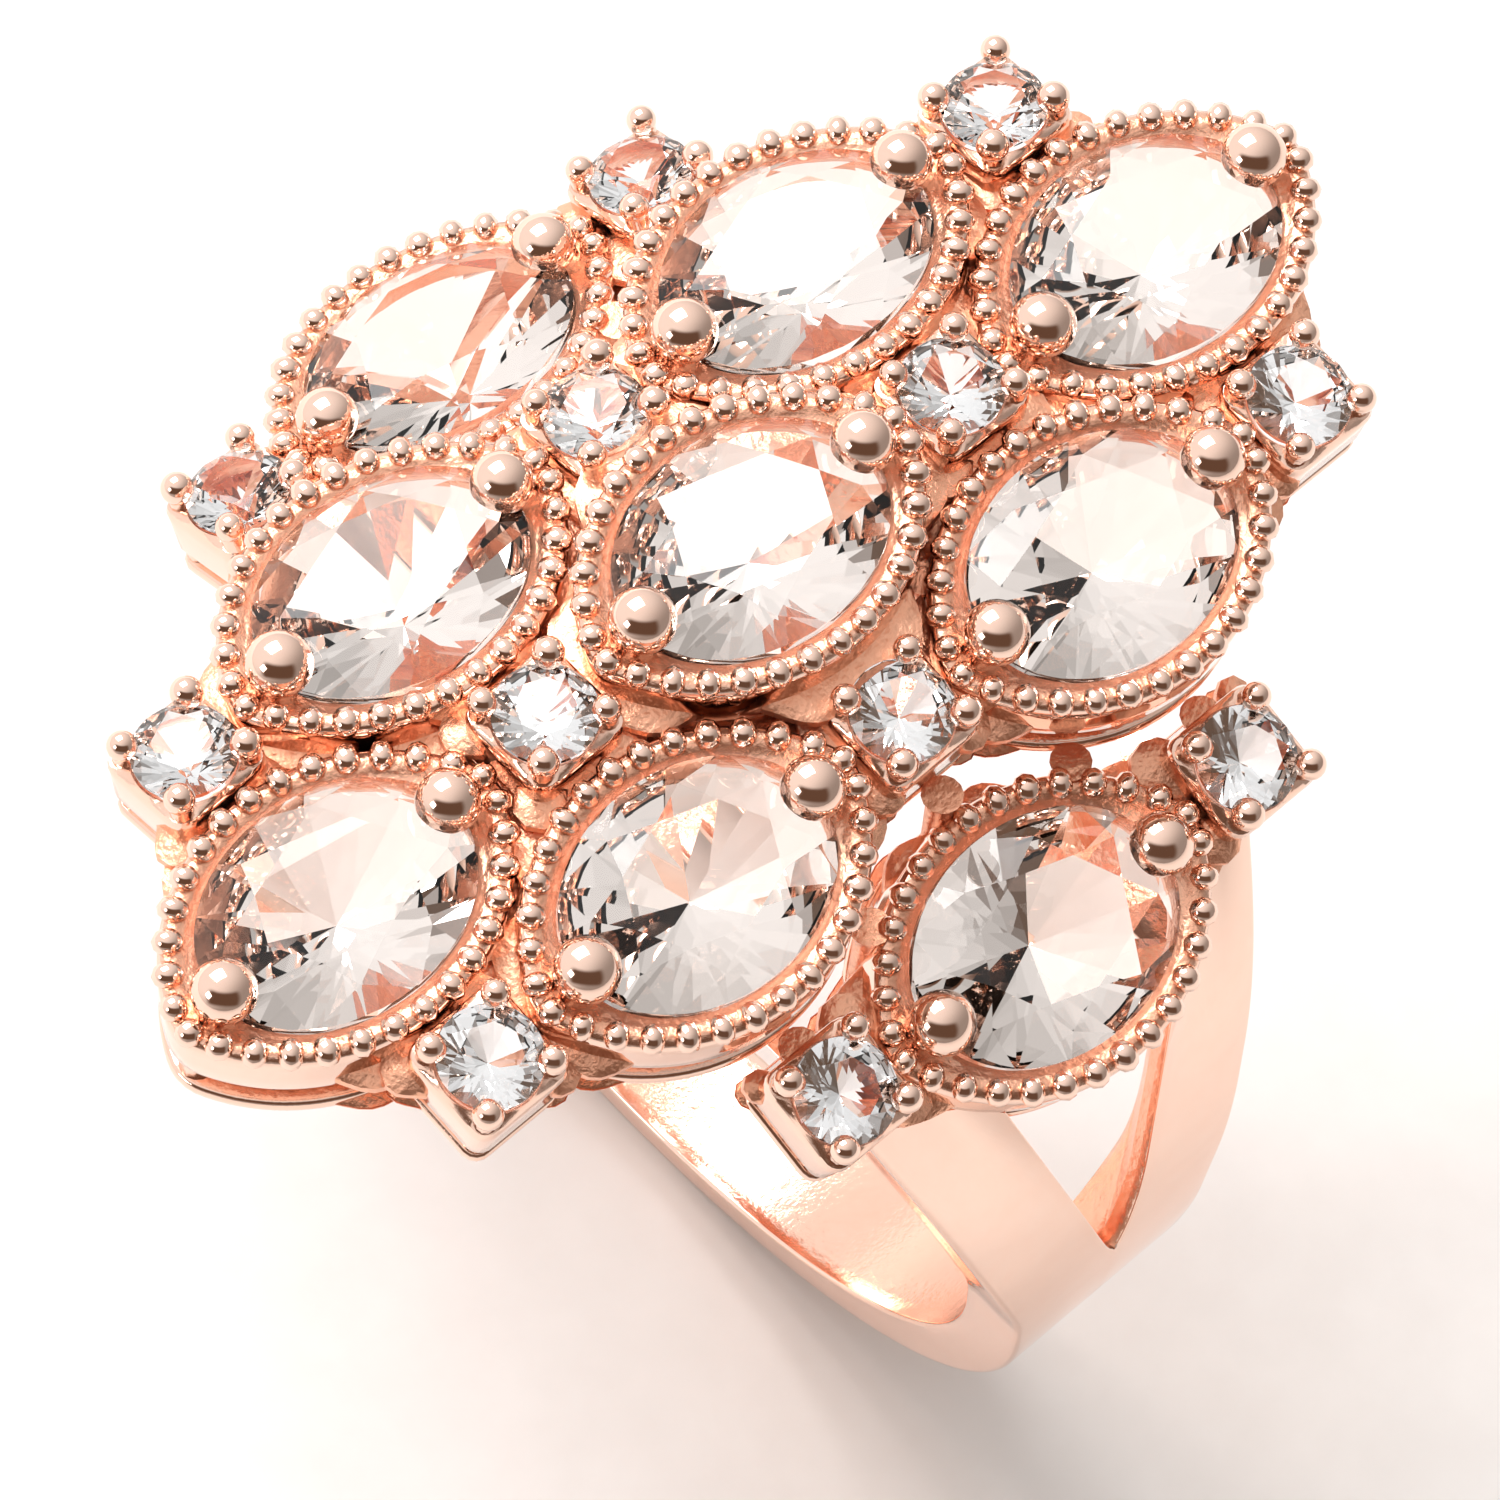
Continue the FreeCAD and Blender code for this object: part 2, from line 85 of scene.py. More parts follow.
def calc(tree, operation, first, second=None, clamp=False):
    """One Math node, on sockets or plain numbers; returns its output."""
    node = tree.nodes.new("ShaderNodeMath")
    node.operation = operation
    node.use_clamp = clamp
    for slot, value in zip(node.inputs, (first, second)):
        if isinstance(value, bpy.types.NodeSocket):
            tree.links.new(value, slot)
        elif value is not None:
            slot.default_value = value
    return node.outputs[0]


def noise(tree, where, scale, detail, stretch=(1, 1, 1)):
    """Noise on a place socket, with an optional stretch of the pattern."""
    mapping = tree.nodes.new("ShaderNodeMapping")
    mapping.inputs["Scale"].default_value = stretch
    tree.links.new(where, mapping.inputs["Vector"])
    node = tree.nodes.new("ShaderNodeTexNoise")
    node.inputs["Scale"].default_value = scale
    node.inputs["Detail"].default_value = detail
    tree.links.new(mapping.outputs[0], node.inputs["Vector"])
    return node.outputs["Fac"]


def worked_metal_group():
    """How far the polisher's wheel got: faint lines and smudges where it reached, the mould's grain where not.
    Where the metal is as cast its colour is also turned deeper and darker: painted shade and light bounced between
    the metal's faces.
    """
    group = bpy.data.node_groups.new("worked_metal", "ShaderNodeTree")
    add_socket(group, "As Cast And Painted Shade", "NodeSocketFloat", False, 0.0)
    add_socket(group, "Tone And Painted Shade", "NodeSocketFloat", True)
    add_socket(group, "Roughness", "NodeSocketFloat", True)
    add_socket(group, "Height", "NodeSocketFloat", True)
    add_socket(group, "Metal", "NodeSocketFloat", True)
    inside = group.nodes.new("NodeGroupInput")
    outside = group.nodes.new("NodeGroupOutput")
    where = group.nodes.new("ShaderNodeTexCoord").outputs["Object"]
    cast = inside.outputs["As Cast And Painted Shade"]
    grain = noise(group, where, 9000, 5)
    lumps = noise(group, where, 2600, 3)
    lines = noise(group, where, 5000, 2, (1, 0.06, 1))
    smudge = noise(group, where, 500, 2)
    # Painted shade: as cast, in the recesses, the colour turns toward the deeper, darker orange, standing in for
    # shade and light bounced between the metal's faces; the lumps add random variation.
    tone_and_painted_shade = calc(group, "ADD", calc(group, "MULTIPLY", cast, 0.75), calc(group, "MULTIPLY", lumps, 0.16), True)
    smooth = calc(group, "ADD", 0.035, calc(group, "MULTIPLY", smudge, 0.09))
    rough = calc(group, "ADD", smooth, calc(group, "MULTIPLY", cast, 0.2))
    fine = calc(group, "MULTIPLY", lines, 0.02)
    coarse = calc(group, "MULTIPLY", cast, calc(group, "ADD", grain, calc(group, "MULTIPLY", lumps, 1.4)))
    height = calc(group, "ADD", fine, coarse)
    group.links.new(tone_and_painted_shade, outside.inputs["Tone And Painted Shade"])
    group.links.new(rough, outside.inputs["Roughness"])
    group.links.new(height, outside.inputs["Height"])
    dull = calc(group, "MULTIPLY", cast, calc(group, "MULTIPLY", lumps, 0.25))
    group.links.new(calc(group, "SUBTRACT", 1.0, dull), outside.inputs["Metal"])
    return group


def rose_gold():
    """Polished rose gold, grainy where the mesh's as-cast attribute says that no tool reached, and painted a
    deeper, darker orange there as shade and light bounced between the metal's faces.
    """
    material = bpy.data.materials.new("rose_gold_plate")
    material.use_nodes = True
    tree = material.node_tree
    shader = tree.nodes["Principled BSDF"]
    work = tree.nodes.new("ShaderNodeGroup")
    work.node_tree = worked_metal_group()
    attribute = tree.nodes.new("ShaderNodeAttribute")
    attribute.attribute_name = "as_cast_and_painted_shade"
    tree.links.new(attribute.outputs["Fac"], work.inputs["As Cast And Painted Shade"])
    # Painted shade: from the pale rose toward the deep orange in the recesses.
    mix = tree.nodes.new("ShaderNodeMix")
    mix.data_type = "RGBA"
    mix.inputs["A"].default_value = ROSE_PALE
    mix.inputs["B"].default_value = ROSE_DEEP_TONE_AND_SHADE
    tree.links.new(work.outputs["Tone And Painted Shade"], mix.inputs["Factor"])
    tree.links.new(mix.outputs["Result"], shader.inputs["Base Color"])
    tree.links.new(work.outputs["Roughness"], shader.inputs["Roughness"])
    tree.links.new(work.outputs["Metal"], shader.inputs["Metallic"])
    bump = tree.nodes.new("ShaderNodeBump")
    bump.inputs["Strength"].default_value = 0.5
    bump.inputs["Distance"].default_value = 0.06 * MM
    tree.links.new(work.outputs["Height"], bump.inputs["Height"])
    tree.links.new(bump.outputs["Normal"], shader.inputs["Normal"])
    return material


ROSE_GOLD = rose_gold()


def grid_quads(rows, columns, rows_wrap=False, columns_wrap=False):
    """The quads of a rows x columns grid of points, joined end to end where it wraps."""
    r = np.arange(rows if rows_wrap else rows - 1)[:, None]
    c = np.arange(columns if columns_wrap else columns - 1)[None, :]
    r_next, c_next = (r + 1) % rows, (c + 1) % columns
    quads = np.stack(
        [r * columns + c, r * columns + c_next, r_next * columns + c_next, r_next * columns + c], -1
    )
    return quads.reshape(-1, 4)


def make_piece(name, shells, material, sharp=math.radians(35)):
    """One mesh object from shells of (points, faces, as cast), welded, turned outward and smoothed to an angle.
    The as-cast value sets grain and roughness and also paints shade in the recesses.
    """
    points = np.concatenate([s[0].reshape(-1, 3) for s in shells])
    cast = np.concatenate([np.broadcast_to(s[2], s[0].shape[:-1]).reshape(-1) for s in shells])
    faces, start = [], 0
    for shell in shells:
        faces += [[v + start for v in face] for face in shell[1]]
        start += shell[0].reshape(-1, 3).shape[0]
    mesh = bpy.data.meshes.new(name)
    mesh.from_pydata(points.tolist(), [], faces)
    # The as-cast value per point: grain and roughness, and painted shade where the metal lies in recesses.
    mesh.attributes.new("as_cast_and_painted_shade", "FLOAT", "POINT").data.foreach_set("value", cast.astype(np.float32))
    soft = bmesh.new()
    soft.from_mesh(mesh)
    bmesh.ops.remove_doubles(soft, verts=soft.verts, dist=0.0005 * MM)
    bmesh.ops.recalc_face_normals(soft, faces=soft.faces)
    soft.to_mesh(mesh)
    soft.free()
    mesh.shade_smooth()
    mesh.set_sharp_from_angle(angle=sharp)
    mesh.materials.append(material)
    piece = bpy.data.objects.new(name, mesh)
    bpy.context.scene.collection.objects.link(piece)
    return piece


FINGER_RADIUS = frame["record"]["mounts"][0]["dims"]["r_mm"] * MM
FOOT_REACH = -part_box("shank")[0][2]
SIDE_THICKNESS = 1.27 * MM
SIDE_REACH = FINGER_RADIUS + SIDE_THICKNESS
BAND_CENTRE = (SIDE_REACH**2 - FOOT_REACH**2) / (2 * FOOT_REACH)
BAND_RADIUS = FOOT_REACH + BAND_CENTRE
BAND_FOOT_HALF = 1.1 * MM
BAND_EDGE = 0.12 * MM
BAND_INNER_EDGE = 0.08 * MM
SHOULDER_LEAN = math.radians(13.2)
ARM_WIDTH = 2.3 * MM
ARM_INNER_REACH = 5.0 * MM
SHOULDER_TUCK = 0.8 * MM
SPLIT_START = 0.3 * MM
SPLIT_SLOPE = math.tan(math.radians(16.3))
SPLIT_ROUND = 0.15 * MM
LIP_THICKNESS = 0.38 * MM
HOLLOW_DEPTH = 1.55 * MM
HOLLOW_SIDE_SLOPE = 1.3
HOLLOW_FOOT_SLOPE = 1.2
OVAL_WALL_LOW = -1.05 * MM
OVAL_RAIL_LOW = -1.9 * MM
CUP_LOW = -1.1 * MM
ROUND_RAIL_LOW = -1.6 * MM


def seat_of(stone):
    """Where a setting sits, read from its stone in the frame: the girdle's centre and the directions across
    the stone, along the finger and out of the table. The girdle is level with the stone's furthest points."""
    mesh = frame["nodes"][stone].data
    v = np.empty(len(mesh.vertices) * 3, np.float32)
    mesh.vertices.foreach_get("co", v)
    v = v.reshape(-1, 3).astype(float)
    corners = np.unique(v.round(7), axis=0)
    spread = np.linalg.eigh(np.cov((corners - corners.mean(0)).T))
    out = spread[1][:, 0] * np.sign(spread[1][2, 0])
    along = np.array([0.0, 1.0, 0.0])
    along = along - out * (along @ out)
    along /= np.linalg.norm(along)
    across = np.cross(along, out)
    ends = corners[[np.argmax(corners @ along), np.argmin(corners @ along)]]
    sides = corners[[np.argmax(corners @ across), np.argmin(corners @ across)]]
    level = (ends @ out).mean()
    centre = along * (ends @ along).mean() + across * (sides @ across).mean() + out * level
    return centre, across, along, out


OVAL_NAMES = [f"{row}{number}" for row in "abc" for number in (1, 2, 3)]
ROUND_NAMES = [f"{number:02d}" for number in range(1, 13)]
OVAL_SEATS = {name: seat_of("oval_stone_" + name) for name in OVAL_NAMES}
ROUND_SEATS = {name: seat_of("round_stone_" + name) for name in ROUND_NAMES}


def smooth_step(x):
    """The usual eased step, 3x^2 - 2x^3 between 0 and 1."""
    x = np.clip(x, 0, 1)
    return x * x * (3 - 2 * x)


TANGENT_X = BAND_RADIUS * math.cos(SHOULDER_LEAN)
TANGENT_Z = BAND_CENTRE + BAND_RADIUS * math.sin(SHOULDER_LEAN)


def straight_face(z):
    """How far out a shoulder's straight face lies: on the tangent that leaves the round part at its lean."""
    return TANGENT_X - (z - TANGENT_Z) * math.tan(SHOULDER_LEAN)


def outer_reach(turn):
    """Distance of the outer face from the finger's axis at an angle above level: on the band's circle below
    the tangent point, and on the straight face above it."""
    sine, cosine = np.sin(turn), np.cos(turn)
    on_circle = BAND_CENTRE * sine + np.sqrt(BAND_RADIUS**2 - (BAND_CENTRE * cosine) ** 2)
    face = straight_face(0) / (cosine + math.tan(SHOULDER_LEAN) * sine)
    return np.where(turn > math.atan2(TANGENT_Z, TANGENT_X), face, on_circle)


def half_width(z):
    """Half the band's width: a straight taper from the foot to the split, then an arm beside its slope."""
    lower = BAND_FOOT_HALF + (ARM_WIDTH - BAND_FOOT_HALF) * (z + FOOT_REACH) / (SPLIT_START + FOOT_REACH)
    upper = ARM_WIDTH + (z - SPLIT_START) * SPLIT_SLOPE
    blend = smooth_step((z - SPLIT_START) / (2 * MM) + 0.5)
    return lower + (upper - lower) * blend


def split_half(z):
    """Half the width of the opening: a wedge whose root is rounded, the root of risen^2 + 2 round risen."""
    risen = np.maximum(z - SPLIT_START, 0) * SPLIT_SLOPE
    return np.sqrt(risen**2 + 2 * SPLIT_ROUND * risen)


OVAL_GAP = 0.03 * MM
OVAL_LIFT = 0.62 * MM
CUP_LIFT = 0.7 * MM
TUCK_SHARE = 0.6


def tuck_across(across):
    """How much of the tuck an arm has, from its split edge (0) outward: the rounded-off rise a (2 - a)."""
    a = min(across / TUCK_SHARE, 1)
    return a * (2 - a)


def arm_top(across):
    """The angle above level at which an arm's outer face ends, from its split edge (0) to its outer edge (1):
    under the oval setting's wall at first, then rising to the small cup beside it."""
    oval, cup = OVAL_SEATS["c3"], max(ROUND_SEATS.values(), key=lambda seat: seat[0][0])
    heights = []
    oval_lift = OVAL_LIFT * tuck_across(across) - OVAL_GAP
    for seat, low, lift in ((oval, OVAL_WALL_LOW, oval_lift), (cup, CUP_LOW, CUP_LIFT)):
        centre, _, _, out = seat
        lean = out[0] / out[2]
        level = centre[2] + low / out[2] + lift
        heights.append((level + (centre[0] - straight_face(0)) * lean) / (1 - math.tan(SHOULDER_LEAN) * lean))
    height = heights[0] + (heights[1] - heights[0]) * smooth_step((across - 0.55) / 0.4)
    return math.atan2(height, straight_face(height))


HOLLOW_COLUMNS = 7
LIP_COLUMNS = 2


def band_quarter():
    """One quarter of the band as a grid: along it the angle above level, across it a half section that runs
    from the split over the outer face, round the edge, down the side, back along the finger's face and up the
    hollow's slope to the lip. Towards its top an arm's outer part tucks in below the small cup. Where the
    hollow is d deep behind the lip, its foot lies at start - slope d and its side at the split's half width
    + slope d."""
    low = -np.pi / 2
    spans = ((0, 0.62, 70), (0.62, 0.78, 60), (0.78, 1, 40))
    share = np.concatenate([[0]] + [np.linspace(*span)[1:] for span in spans])
    rows = []

    def outer(across):
        turn = low + share * (arm_top(across) - low)
        tuck = tuck_across(across) * np.clip((share - 0.82) / 0.18, 0, 1) ** 2
        reach = outer_reach(turn) - SHOULDER_TUCK * tuck
        z = reach * np.sin(turn)
        return turn, reach, z, half_width(z), split_half(z)

    def add(turn, radius, y, cast):
        rows.append((np.stack([radius * np.cos(turn), y, radius * np.sin(turn)], -1), cast))

    bends = np.linspace(0, np.pi / 2, 6)
    turn, reach, z, side, gap = outer(0)
    rim = np.minimum(0.05 * MM, (side - gap) * 0.1) * (gap > 0)
    is_split = gap > 0
    # The last value of each row is how far it is as cast: grain and roughness, and painted shade, highest in the
    # hollow and on the lip.
    for bend in bends[[0, 2, 4]]:
        add(turn, reach - rim * (1 - np.sin(bend)), gap + rim * (1 - np.cos(bend)), 0.1)
    for part in np.linspace(0, 1, 9)[1:-1]:
        turn, reach, z, side, gap = outer(part)
        add(turn, reach, gap + rim + (side - BAND_EDGE - gap - rim) * part, 0)
    turn, reach, z, side, gap = outer(1)
    for bend in bends:
        add(turn, reach - BAND_EDGE * (1 - np.cos(bend)), side - BAND_EDGE * (1 - np.sin(bend)), 0)
    turn_in = low + share * (math.acos(ARM_INNER_REACH / FINGER_RADIUS) - low)
    z_in = FINGER_RADIUS * np.sin(turn_in)
    side_in = half_width(z_in)
    for part in np.linspace(0, 1, 6)[1:-1]:
        between = turn + (turn_in - turn) * part
        radius = reach - BAND_EDGE + (FINGER_RADIUS + BAND_INNER_EDGE - reach + BAND_EDGE) * part
        add(between, radius, half_width(radius * np.sin(between)), 0)
    edge = BAND_INNER_EDGE
    for bend in bends[1:]:
        add(turn_in, FINGER_RADIUS + edge * (1 - np.sin(bend)), side_in - edge * (1 - np.cos(bend)), 0)
    deep = (straight_face(z_in) - FINGER_RADIUS * np.cos(turn_in)) * math.cos(SHOULDER_LEAN) - LIP_THICKNESS
    deep = np.clip(deep, 0, HOLLOW_DEPTH)
    floor = (SPLIT_START - z_in) / HOLLOW_FOOT_SLOPE
    opened = smooth_step((deep - floor) / (0.5 * MM))
    cut = np.minimum((split_half(z_in) + HOLLOW_SIDE_SLOPE * deep) * opened, side_in - edge - 0.2 * MM)
    for part in np.linspace(0, 1, 6)[1:]:
        add(turn_in, FINGER_RADIUS + 0 * cut, side_in - edge + (cut - side_in + edge) * part, 0.3)
    turn, reach, z, side, gap = outer(0)
    below = np.maximum(SPLIT_START - z, 0) / HOLLOW_FOOT_SLOPE
    lip = np.maximum(reach - LIP_THICKNESS - below, FINGER_RADIUS)
    for part in np.linspace(0, 1, HOLLOW_COLUMNS + 1)[1:]:
        radius = FINGER_RADIUS + (lip - FINGER_RADIUS) * part
        add(turn_in + (turn - turn_in) * part, radius, cut + (gap - cut) * part, 0.85)
    add(turn, (lip + reach) / 2, gap, 0.8)
    return np.stack([r[0] for r in rows], 1), np.array([r[1] for r in rows], float), is_split, cut > 0


def make_band():
    """The four mirrored quarters, each closed over its arm's end, welded where they meet. The hollow's columns
    are left out where there is no hollow, and the lip's where there is no split."""
    grid, cast, is_split, is_hollow = band_quarter()
    rows, columns = grid.shape[:2]
    quads = grid_quads(rows, columns, False, True).reshape(rows - 1, columns, 4)
    column = np.arange(columns)[None, :]
    solid = column < columns - HOLLOW_COLUMNS - LIP_COLUMNS
    hollowed = is_hollow[1:, None] & (column < columns - LIP_COLUMNS)
    keep = solid | hollowed | is_split[1:, None]
    faces = quads[keep].tolist() + [list(range((rows - 1) * columns, rows * columns))]
    shells = []
    for side_x in (1, -1):
        for side_y in (1, -1):
            shells.append((grid * (side_x, side_y, 1), faces, cast[None, :]))
    return make_piece("polished_band", shells, ROSE_GOLD, math.radians(30))


band = make_band()
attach(band, "root")
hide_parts("shank")

# ---------------------------------------------------------------------------
# Gallery: one rail under each setting, cast together with the posts and webs
# that join them. Only its outer edge can be reached by a polishing wheel; the
# rest keeps the grain of the mould and is painted a deeper, darker orange as
# shade.
# ---------------------------------------------------------------------------

OVAL_HALF_WIDTH = 2.5 * MM
OVAL_HALF_LENGTH = 3.45 * MM
OVAL_TIP_RADIUS = 0.9 * MM
CUP_HALF = 1.0 * MM
CUP_CORNER = 0.3 * MM


def pointed_oval(count):
    """Evenly spaced points on the settings' outline and their outward directions: side arcs about far centres,
    tip arcs about near ones, each point at its centre plus its radius along its direction."""
    width, tip = OVAL_HALF_WIDTH, OVAL_TIP_RADIUS
    tip_y = OVAL_HALF_LENGTH - tip
    side = (width**2 + tip_y**2 - tip**2) / (2 * (width - tip))
    bend = math.atan2(tip_y, side - width)
    lengths = np.array([2 * bend * side, (np.pi - 2 * bend) * tip] * 2)
    edges = np.concatenate([[0], np.cumsum(lengths)])
    travel = (np.arange(count) + 0.5) / count * edges[-1]
    arc = np.searchsorted(edges, travel, side="right") - 1
    share = (travel - edges[arc]) / lengths[arc]
    first = np.array([-bend, bend, np.pi - bend, np.pi + bend])
    sweep = np.array([2 * bend, np.pi - 2 * bend, 2 * bend, np.pi - 2 * bend])
    centre = np.array([[width - side, 0], [0, tip_y], [side - width, 0], [0, -tip_y]])
    radius = np.array([side, tip, side, tip])
    angle = first[arc] + sweep[arc] * share
    way = np.stack([np.cos(angle), np.sin(angle)], 1)
    return centre[arc] + radius[arc][:, None] * way, way


def rounded_square(count):
    """Points on a square with quarter-circle corners and their outward directions: along each side the
    direction is fixed, and round each corner the point is the corner's centre plus its radius along it."""
    flat = CUP_HALF - CUP_CORNER
    quarter = 2 * flat + CUP_CORNER * np.pi / 2
    travel = (np.arange(count) + 0.5) / count * 4 * quarter
    turn = np.floor(travel / quarter) * np.pi / 2
    along = travel % quarter
    rounding = np.clip((along - 2 * flat) / CUP_CORNER, 0, np.pi / 2)
    straight = np.minimum(along, 2 * flat) - flat
    local = np.stack([flat + CUP_CORNER * np.cos(rounding), straight + CUP_CORNER * np.sin(rounding)], 1)
    way = np.stack([np.cos(rounding), np.sin(rounding)], 1)
    c, s = np.cos(turn), np.sin(turn)
    def turned(p):
        return np.stack([c * p[:, 0] - s * p[:, 1], s * p[:, 0] + c * p[:, 1]], 1)
    return turned(local), turned(way)


def at_seat(seat, x, y, z):
    """Points given across, along and out of a setting, in the ring's own axes."""
    centre, across, along, out = seat
    return centre + x[..., None] * across + y[..., None] * along + z[..., None] * out


def carried(seat, outline, profile):
    """A closed profile of (outward, up) points carried round an outline: outline point plus outward times its
    direction, at the profile's height."""
    place, way = outline
    outward, up = np.array(profile).T
    flat = place[:, None, :] + way[:, None, :] * outward[None, :, None]
    x, y = flat[..., 0], flat[..., 1]
    points = at_seat(seat, x, y, np.broadcast_to(up, x.shape))
    return points, grid_quads(len(place), len(profile), True, True)


def rounded_bar(outer, inner, low, high, corner, steps=3):
    """The outline of a bar's section with rounded corners, as (outward, up) points."""
    turn = np.linspace(0, np.pi / 2, steps + 1)
    points = []
    for cx, cy, start in (
        (outer - corner, high - corner, 0),
        (inner + corner, high - corner, 1),
        (inner + corner, low + corner, 2),
        (outer - corner, low + corner, 3),
    ):
        angle = turn + start * np.pi / 2
        points += np.stack([cx + corner * np.cos(angle), cy + corner * np.sin(angle)], 1).tolist()
    return points


def upright(x, y, low, high, radius, flare, sides=14):
    """A post that spreads at both ends: its radius is the waist plus a flare that dies away from each end."""
    share = np.linspace(0, 1, 13)
    near = np.minimum(share, 1 - share) * (high - low)
    width = radius + flare * np.exp(-near / (flare * 0.9))
    width = np.concatenate([[0], width, [0]])
    level = low + np.concatenate([[0], share, [1]]) * (high - low)
    angle = np.arange(sides) / sides * 2 * np.pi
    points = np.stack(
        [
            x + width[:, None] * np.cos(angle),
            y + width[:, None] * np.sin(angle),
            np.broadcast_to(level[:, None], (len(level), sides)),
        ],
        -1,
    )
    return points, grid_quads(len(level), sides, False, True)


RAIL_WIDTH = 0.45 * MM
RAIL_TOP = OVAL_RAIL_LOW + 0.28 * MM
CUP_RAIL_WIDTH = 0.35 * MM
CUP_RAIL_TOP = ROUND_RAIL_LOW + 0.24 * MM
GROOVE_DEPTH = 0.27 * MM
CUP_GROOVE_DEPTH = 0.2 * MM
SUNK = 0.1 * MM
WEB_TOP = -0.62 * MM
WEB_LOW = -1.0 * MM
WEB_REACH = 0.62 * MM
WEB_ROOT = 0.15 * MM
WEB_OVERLAP = 0.06 * MM
WEB_TUCKED = 0.12 * MM
WIDE_GAP = 1.6 * MM
POST_WAIST = 0.26 * MM
POST_FLARE = 0.1 * MM
CLAW_POST_RADIUS = 0.3 * MM
CORNER_POST_RADIUS = 0.22 * MM
CORNER_POST_FLARE = 0.07 * MM
# How far the gallery is as cast inside and at its outer edge: grain and roughness, and painted shade, a deeper,
# darker orange, on the inside.
INSIDE_CAST_AND_SHADE = 1.0
OUTSIDE_CAST_AND_SHADE = 0.12


def seat_upright(seat, x, y, low, high, radius, flare):
    """A flared post in a setting's own directions."""
    points, faces = upright(x, y, low, high, radius, flare)
    return at_seat(seat, points[..., 0], points[..., 1], points[..., 2]), faces


def plane_height(seat, x, y, level):
    """The height where an upright line at x, y meets a setting's plane at this level."""
    centre, _, _, out = seat
    base = centre + out * level
    return base[2] - (out[0] * (x - base[0]) + out[1] * (y - base[1])) / out[2]


def web_shell(seat, outline, reach, top, low):
    """A thin skirt of metal round a setting, between two levels: each of its edge points lies at the outline
    plus the skirt's reach there, and its root a little inside the wall. The share is the way from root to edge."""
    place, way = outline
    share = np.array([0, 0.6, 1, 1, 0.6, 0])
    up = np.array([top, top - 0.04 * MM, top - 0.12 * MM, low + 0.1 * MM, low + 0.03 * MM, low])
    outward = reach[:, None] * share - WEB_ROOT * (1 - share)
    flat = place[:, None, :] + way[:, None, :] * outward[..., None]
    x, y = flat[..., 0], flat[..., 1]
    points = at_seat(seat, x, y, np.broadcast_to(up, x.shape))
    return points, grid_quads(len(place), len(up), True, True), INSIDE_CAST_AND_SHADE


def web_reaches(outlines, most):
    """How far each setting's skirt reaches: half the gap to the nearest other setting ahead and a little more,
    no more than the most, drawn back into the wall where the gap is wide or off to the side, then smoothed."""
    rings, ways = [], []
    for seat, (place, way) in outlines:
        rings.append(at_seat(seat, place[:, 0], place[:, 1], np.full(len(place), WEB_TOP)))
        ways.append(way[:, :1] * seat[1] + way[:, 1:] * seat[2])
    reaches = []
    for i, ring in enumerate(rings):
        others = np.concatenate(rings[:i] + rings[i + 1 :])
        apart = others[None] - ring[:, None]
        far = np.linalg.norm(apart, axis=-1)
        ahead = np.einsum("ijk,ik->ij", apart, ways[i]) / far
        gap = (far + 2 * MM * smooth_step((0.85 - ahead) / 0.6)).min(1)
        drawn_in = smooth_step((gap - WIDE_GAP) / (0.7 * MM))
        reach = np.minimum(gap / 2 + WEB_OVERLAP, most) * (1 - drawn_in) - WEB_TUCKED * drawn_in
        spread = np.hanning(9) / np.hanning(9).sum()
        reaches.append(np.convolve(np.concatenate([reach[-4:], reach, reach[:4]]), spread, "valid"))
    return reaches


